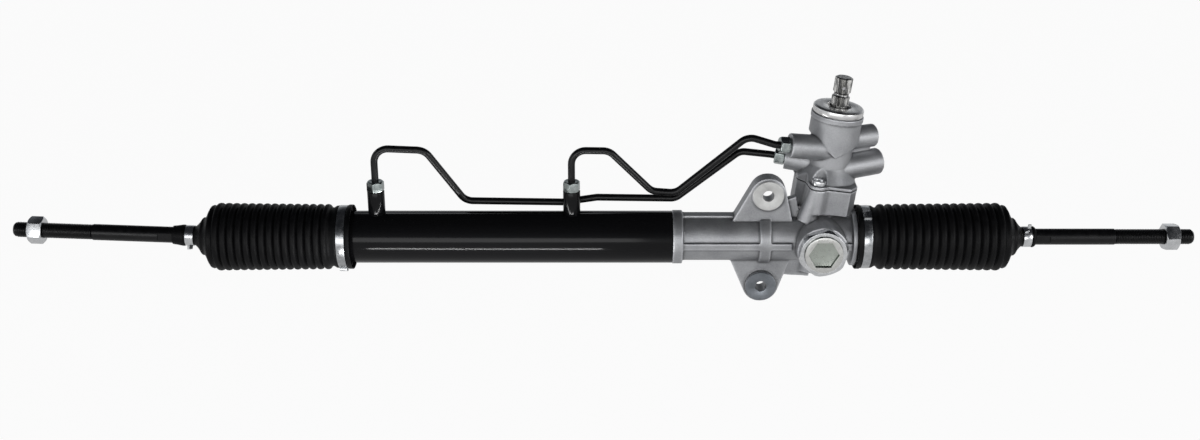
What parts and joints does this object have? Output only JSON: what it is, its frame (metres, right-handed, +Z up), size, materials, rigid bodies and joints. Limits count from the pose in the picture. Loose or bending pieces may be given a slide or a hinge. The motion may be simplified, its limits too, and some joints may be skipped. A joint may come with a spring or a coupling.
{
  "type": "rack-and-pinion steering gear",
  "caption": "Hydraulic rack-and-pinion steering gear with a splined input shaft, fluid cylinder, bellows and threaded tie rods, bolted to a crossmember by two ears.",
  "frame": {"origin": "on the ears' mounting face, midway between the two bolt holes", "axes": "+X along the rack towards the pinion end, +Y out of the mounting face towards the crossmember, +Z up along the input shaft's side"},
  "size_m": [1.0821, 0.0948, 0.2092],
  "materials": {
    "cast_aluminium": "as cast, fine matt grain",
    "machined_aluminium": "turned faces",
    "black_paint": "gloss black",
    "black_satin": "satin black phosphate and oil",
    "zinc_plate": "bright zinc plating",
    "bright_steel": "bare steel, oiled",
    "hard_steel": "ground and hardened",
    "spring_steel": "dark spring steel",
    "bronze": "sintered bronze",
    "bellows_rubber": "matt black",
    "seal_rubber": "matt black",
    "seal_ptfe": "filled PTFE",
    "seat_plastic": "natural acetal"
  },
  "bodies": {
    "casing": {"gear_housing": "cast_aluminium", "cylinder_tube": "black_paint", "port_boss_left": "black_paint", "port_boss_right": "black_paint", "valve_body": "cast_aluminium", "valve_body_bolts": "zinc_plate", "valve_body_gasket": "seal_rubber", "valve_cover": "machined_aluminium", "input_shaft_seal": "seal_rubber", "input_shaft_bearing": "hard_steel", "pinion_bearing_outer": "hard_steel", "pinion_seal": "seal_rubber", "pinion_lower_bush": "bronze", "pinion_end_cap": "machined_aluminium", "inner_rack_seal": "seal_rubber", "rack_end_bush": "machined_aluminium", "outer_rack_seal": "seal_rubber", "end_bush_clip": "spring_steel", "rack_yoke": "machined_aluminium", "yoke_liner": "seat_plastic", "yoke_ring": "seal_rubber", "yoke_spring": "spring_steel", "yoke_plug": "zinc_plate", "yoke_lock_nut": "zinc_plate", "bellows_left": "bellows_rubber", "bellows_right": "bellows_rubber", "large_clamp_left": "zinc_plate", "large_clamp_right": "zinc_plate", "pipe_left": "black_satin", "pipe_right": "black_satin", "cylinder_pipe_nuts": "zinc_plate", "valve_pipe_nuts": "zinc_plate"},
    "rack": {"rack_bar": "hard_steel", "piston": "machined_aluminium", "piston_ring": "seal_ptfe", "piston_clips": "spring_steel", "ball_socket_left": "bright_steel", "ball_socket_right": "bright_steel", "lock_washer_left": "bright_steel", "lock_washer_right": "bright_steel"},
    "pinion": {"pinion": "hard_steel", "pinion_bearing_inner": "hard_steel", "pinion_bearing_balls": "hard_steel", "pinion_nut": "hard_steel", "valve_sleeve": "hard_steel", "sleeve_rings": "seal_ptfe"},
    "input_shaft": {"input_shaft": "bright_steel", "torsion_bar": "hard_steel", "torsion_bar_pin": "hard_steel"},
    "seat_left": {"ball_seat_left": "seat_plastic"},
    "seat_right": {"ball_seat_right": "seat_plastic"},
    "tie_rod_left": {"tie_rod_left": "black_satin", "lock_nut_left": "zinc_plate", "small_clamp_left": "zinc_plate"},
    "tie_rod_right": {"tie_rod_right": "black_satin", "lock_nut_right": "zinc_plate", "small_clamp_right": "zinc_plate"}
  },
  "joints": [
    {"name": "rack_slide", "type": "slide", "parent": "casing", "child": "rack", "axis": [1, 0, 0], "range_m": [-0.07, 0.07], "deforming": ["bellows_left", "bellows_right"]},
    {"name": "pinion_spin", "type": "hinge", "parent": "casing", "child": "pinion", "pos_m": [0.05, 0.01107, 0], "axis": [0.1219, 0, 0.9925], "range_deg": [-540, 540]},
    {"name": "valve_twist", "type": "hinge", "parent": "pinion", "child": "input_shaft", "pos_m": [0.05, 0.01107, 0], "axis": [0.1219, 0, 0.9925], "range_deg": [-5, 5], "stiffness_Nm_per_rad": 70},
    {"name": "left_swing", "type": "hinge", "parent": "rack", "child": "seat_left", "pos_m": [-0.4945, -0.005, 0], "axis": [0, 0, 1], "range_deg": [-18, 18]},
    {"name": "left_lift", "type": "hinge", "parent": "seat_left", "child": "tie_rod_left", "pos_m": [-0.4945, -0.005, 0], "axis": [0, 1, 0], "range_deg": [-20.2, 15.8]},
    {"name": "right_swing", "type": "hinge", "parent": "rack", "child": "seat_right", "pos_m": [0.2015, -0.005, 0], "axis": [0, 0, 1], "range_deg": [-18, 18]},
    {"name": "right_lift", "type": "hinge", "parent": "seat_right", "child": "tie_rod_right", "pos_m": [0.2015, -0.005, 0], "axis": [0, -1, 0], "range_deg": [-18, 18]}
  ],
  "couplings": [
    {"joint": "pinion_spin", "follows": "rack_slide", "rad_per_m": 134.13}
  ]
}
